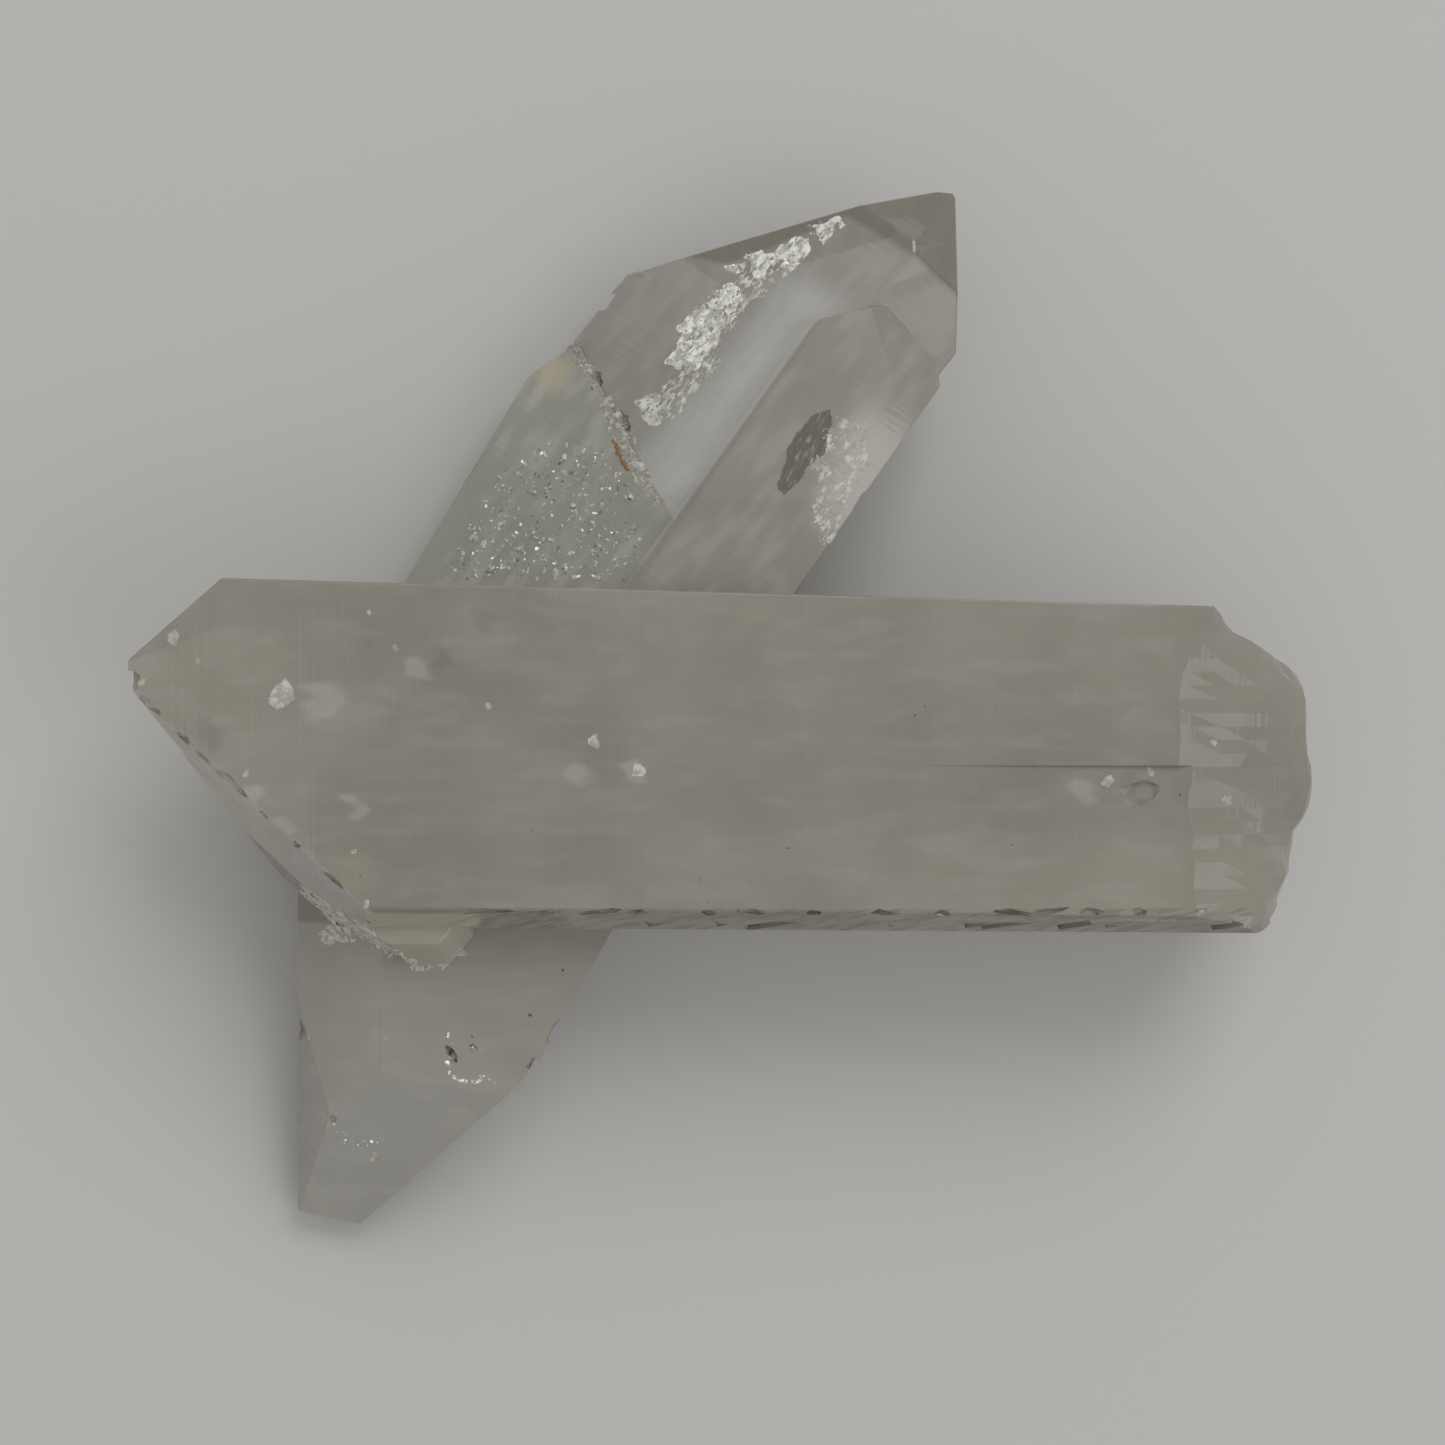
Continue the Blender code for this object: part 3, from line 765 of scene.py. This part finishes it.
# %% Spots inside an outline
def spots_inside(outline, count, seed, depths, sizes, flat):
    """Random spots in the crystal's skin, inside an outline of the view."""
    chance = random.Random(seed)
    columns = [corner[0] for corner in outline]
    rows = [corner[1] for corner in outline]
    spots = []
    while len(spots) < count:
        column = chance.uniform(min(columns), max(columns))
        row = chance.uniform(min(rows), max(rows))
        if not inside(column, row, outline):
            continue
        place, normal = seen(column, row, chance.uniform(*depths))
        if place is None:
            continue
        length = chance.uniform(*sizes) * chance.uniform(0.5, 1.0)
        size = (length, length * chance.uniform(0.4, 0.9), length * flat)
        lean = Vector((chance.uniform(-0.5, 0.5), chance.uniform(-0.5, 0.5), 0))
        spots.append((place, (normal + lean).normalized(), chance.uniform(0, 6.28), size))
    return spots


# %% Grains in the rear crystal's root half
GRAINY = (
    (445, 575), (470, 520), (505, 470), (545, 440), (600, 445), (640, 500), (640, 560), (625, 580),
    (450, 578),
)
BRIGHT_GRAIN = frosty("bright grain", (0.94, 0.95, 0.92), 0.10, 0.22, 2.0, 0.30)
DULL_GRAIN = frosty("dull grain", (0.66, 0.67, 0.60), 0.10, 0.4, 2.0, 0.0, 0.8)
DARK_GRAIN = frosty("dark grain", (0.34, 0.32, 0.26), 0.20, 0.4, 2.0, 0.0, 0.7)
spots = spots_inside(GRAINY, 150, 4, (-0.03, 0.1), (0.15, 0.6), 0.4)
scatter(thin_flake, "bright_grains", spots, BRIGHT_GRAIN)
spots = spots_inside(GRAINY, 340, 9, (-0.02, 0.08), (0.3, 1.1), 0.4)
scatter(thin_flake, "dull_grains", spots, DULL_GRAIN)
spots = spots_inside(GRAINY, 220, 14, (-0.02, 0.05), (0.15, 0.7), 0.4)
scatter(thin_flake, "dark_grains", spots, DARK_GRAIN)

# %% Coarser grains on the bright veil
VEIL_GRAIN = frosty("veil grain", (0.94, 0.945, 0.895), 0.15, 0.3, 2.0, 0.20, 0.7)
VEIL_COUNTS = (60, 45, 25, 8, 25, 18)
spots = []
for index, (outline, count) in enumerate(zip(BRIGHT_OUTLINES, VEIL_COUNTS)):
    spots += spots_inside(outline, count, 60 + index, (-0.02, 0.06), (0.15, 0.55), 0.3)
scatter(thin_flake, "veil_grains", spots, VEIL_GRAIN)


# %% Spots along a line
def spots_along(path, count, seed, spread, depths, sizes, flat):
    """Random spots along a line of the view, none further off than the spread."""
    chance = random.Random(seed)
    spots = []
    for index in range(count):
        reach = (index + chance.random()) / count * (len(path) - 1)
        first = path[int(reach)]
        second = path[int(reach) + 1]
        share = reach - int(reach)
        column = first[0] + (second[0] - first[0]) * share + chance.uniform(-spread, spread)
        row = first[1] + (second[1] - first[1]) * share + chance.uniform(-spread, spread)
        place, normal = seen(column, row, chance.uniform(*depths))
        if place is None:
            continue
        length = chance.uniform(*sizes)
        size = (length, length * chance.uniform(0.4, 0.8), length * flat)
        spots.append((place, normal, chance.uniform(0, 6.28), size))
    return spots


# %% [markdown]
# ## Contact line, seam and rust
#
# Where two crystals press on each other their edges are crushed to a white band. The rear crystal is
# cracked across, and water has left rust in that seam. A texture would be too even for these, so the
# contact line and the seam are a few torn patches with grains strewn along a line, and the rust is
# grains alone.

# %% The crushed white line where the lower crystal meets the main one
CRUSH_OUTLINES = (
    ((299, 887), (329, 904), (354, 919), (336, 927), (299, 897)),
    ((338, 914), (356, 920), (383, 939), (391, 951), (373, 949), (354, 936)),
    ((317, 934), (329, 925), (349, 929), (356, 939), (344, 944), (324, 943)),
    (
        (388, 948), (401, 952), (413, 961), (428, 965), (448, 961), (450, 968), (428, 971), (411, 969),
        (398, 957),
    ),
    ((455, 949), (465, 949), (465, 958), (455, 957)),
)
CONTACT = (
    (299, 892), (318, 902), (333, 912), (348, 922), (362, 934), (378, 945), (392, 953), (408, 963),
    (422, 967), (436, 966), (450, 964),
)
WHITE_CRUSH = frosty("white crush", (0.68, 0.66, 0.585), 0.0, 0.55, 2.5, 0.0, 0.8)
crushed = [torn_patch(outline, 0.10, 6.0, 0.20, -38, 3.0) for outline in CRUSH_OUTLINES]
finish(join_all(crushed), "contact_band", WHITE_CRUSH)
spots = spots_along(CONTACT, 45, 6, 3.0, (-0.03, 0.05), (0.25, 0.8), 0.3)
scatter(thin_flake, "contact_line", spots, WHITE_CRUSH)

# %% The broken grey seam of the rear crystal
SEAM = (
    (572, 345), (580, 362), (592, 380), (603, 400), (612, 424), (620, 446), (628, 466), (640, 480),
    (652, 490),
)
SEAM_OUTLINES = (
    ((570, 346), (582, 346), (604, 378), (614, 398), (600, 404), (584, 380)),
    ((600, 396), (614, 396), (632, 430), (642, 462), (628, 462), (612, 428)),
    ((626, 458), (642, 456), (664, 500), (656, 508), (640, 486)),
)
SEAM_GREY = frosty("grey seam", (0.55, 0.535, 0.485), 0.05, 0.5, 2.5, 0.0, 0.7)
seams = [torn_patch(outline, 0.10, 8.0, 0.05, -61, 2.6) for outline in SEAM_OUTLINES]
finish(join_all(seams), "seam_band", SEAM_GREY)
spots = spots_along(SEAM, 70, 21, 8.0, (-0.03, 0.08), (0.2, 0.8), 0.4)
scatter(thin_flake, "seam_grains", spots, SEAM_GREY)

# %% Rust at the seam's upper end, and one thin streak of it
rust = Shading("rust")
rust_grain = rust.noise(rust.place(), 3.0, 3.0, 0.6)
rust.link(rust.tint(rust_grain, (0.12, 0.045, 0.018), (0.46, 0.24, 0.10)), rust.shader.inputs["Base Color"])
rust.shader.inputs["Roughness"].default_value = 0.7
RUST_END = ((566, 350), (571, 342), (575, 350))
spots = spots_along(RUST_END, 16, 12, 2.0, (-0.03, 0.06), (0.12, 0.4), 0.4)
scatter(thick_grain, "rust_end", spots, rust.material)
RUST_STREAK = ((613, 440), (618, 450), (622, 460), (627, 471))
spots = spots_along(RUST_STREAK, 34, 3, 1.2, (-0.04, 0.03), (0.2, 0.6), 0.4)
scatter(thick_grain, "rust_streak", spots, rust.material)

# %% [markdown]
# ## Specks, flecks and sparks
#
# Small dirt, bruises and bubbles are what the eye meets first on a smooth face. Each one is a small
# grain or patch of its own at its place, because a noise would put them everywhere.

# %% Dark specks on and under the faces
speck = Shading("dark speck")
speck_grain = speck.noise(speck.place(), 4.0, 2.0, 0.5)
speck_tint = speck.tint(speck_grain, (0.03, 0.028, 0.024), (0.11, 0.095, 0.075))
speck.link(speck_tint, speck.shader.inputs["Base Color"])
speck.shader.inputs["Roughness"].default_value = 0.5
SPECKS = (
    (787, 848, 0.35), (700, 880, 0.3), (708, 902, 0.3), (360, 875, 0.3), (332, 913, 0.3),
    (333, 922, 0.4), (369, 922, 0.45), (532, 830, 0.3), (563, 970, 0.4), (530, 1015, 0.5),
    (524, 945, 0.25), (451, 1052, 0.7), (455, 1060, 0.4), (471, 1045, 0.35), (472, 1037, 0.35),
    (487, 1055, 0.25), (368, 645, 0.3), (915, 715, 0.35), (925, 706, 0.3), (592, 388, 0.4),
    (604, 396, 0.35), (610, 404, 0.3), (855, 428, 0.25), (600, 372, 0.3), (660, 560, 0.25),
    (1012, 845, 0.3), (1180, 795, 0.35),
)
spots = []
for index, (column, row, size) in enumerate(SPECKS):
    place, normal = seen(column, row, 0.02)
    spots.append((place, normal, index * 1.7, (size, 0.6 * size, 0.35 * size)))
scatter(thick_grain, "dark_specks", spots, speck.material)


# %% White and dull flecks in the skin
def blots(name, spots, seed, material):
    """One piece of several irregular patches in the skin: column, row and radius in the view."""
    chance = random.Random(seed)
    patches = []
    for column, row, radius in spots:
        outline = []
        for corner in range(9):
            turn = (corner + chance.uniform(-0.3, 0.3)) / 9 * 2 * math.pi
            reach = radius * chance.uniform(0.7, 1.2)
            outline.append((column + reach * math.cos(turn), row + reach * math.sin(turn)))
        patches.append(torn_patch(outline, 0.08, 5.0, 0.70))
    finish(join_all(patches), name, material)


WHITE_FLECK = frosty("white fleck", (0.60, 0.585, 0.535), 0.0, 0.45, 2.0, 0.0, 0.82)
blots("white_flecks", ((283, 694, 15), (595, 741, 7), (638, 772, 7), (367, 903, 5)), 31, WHITE_FLECK)
DULL_FLECK = frosty("dull fleck", (0.50, 0.48, 0.43), 0.0, 0.5, 2.0, 0.0, 0.85)
DULL_FLECKS = (
    (172, 637, 8), (141, 684, 4), (245, 773, 4), (352, 850, 4), (368, 613, 3), (1108, 780, 6),
    (463, 953, 5), (373, 1158, 5), (196, 660, 4), (396, 650, 4), (1150, 770, 4), (1228, 800, 5),
    (1216, 742, 4), (488, 705, 3),
)
blots("dull_flecks", DULL_FLECKS, 33, DULL_FLECK)

# %% Sparks on the lower crystal
SPARK_AREAS = (
    (((447, 1034), (452, 1034), (455, 1050), (449, 1050)), 7, 0.5),
    (((470, 1046), (477, 1046), (477, 1052), (470, 1052)), 4, 0.35),
    (((334, 1132), (352, 1130), (366, 1140), (378, 1142), (374, 1150), (350, 1150), (336, 1144)), 26, 0.5),
    (((315, 1112), (336, 1116), (336, 1126), (318, 1126)), 12, 0.45),
    (((352, 1155), (362, 1155), (362, 1160), (352, 1160)), 4, 0.4),
    (((302, 1020), (310, 1020), (313, 1050), (304, 1052)), 10, 0.45),
    (((372, 1034), (388, 1034), (388, 1046), (372, 1046)), 3, 0.4),
)
spots = []
for index, (outline, count, size) in enumerate(SPARK_AREAS):
    spots += spots_inside(outline, count, 40 + index, (-0.03, 0.05), (0.12, size), 0.4)
RING = (
    (447, 1060), (448, 1072), (457, 1078), (462, 1081), (467, 1082), (478, 1081), (482, 1076),
    (497, 1082),
)
spots += spots_along(RING, 30, 50, 1.6, (-0.03, 0.04), (0.15, 0.5), 0.4)
SPARK = frosty("spark", (0.92, 0.92, 0.89), 0.10, 0.15, 2.0, 0.10)
scatter(thin_flake, "lower_sparks", spots, SPARK)

# %% [markdown]
# ## The end
#
# The two flake models were only patterns for their copies, so they go.

# %% The flake models go
for model in (thin_flake, thick_grain):
    bpy.data.objects.remove(model, do_unlink=True)
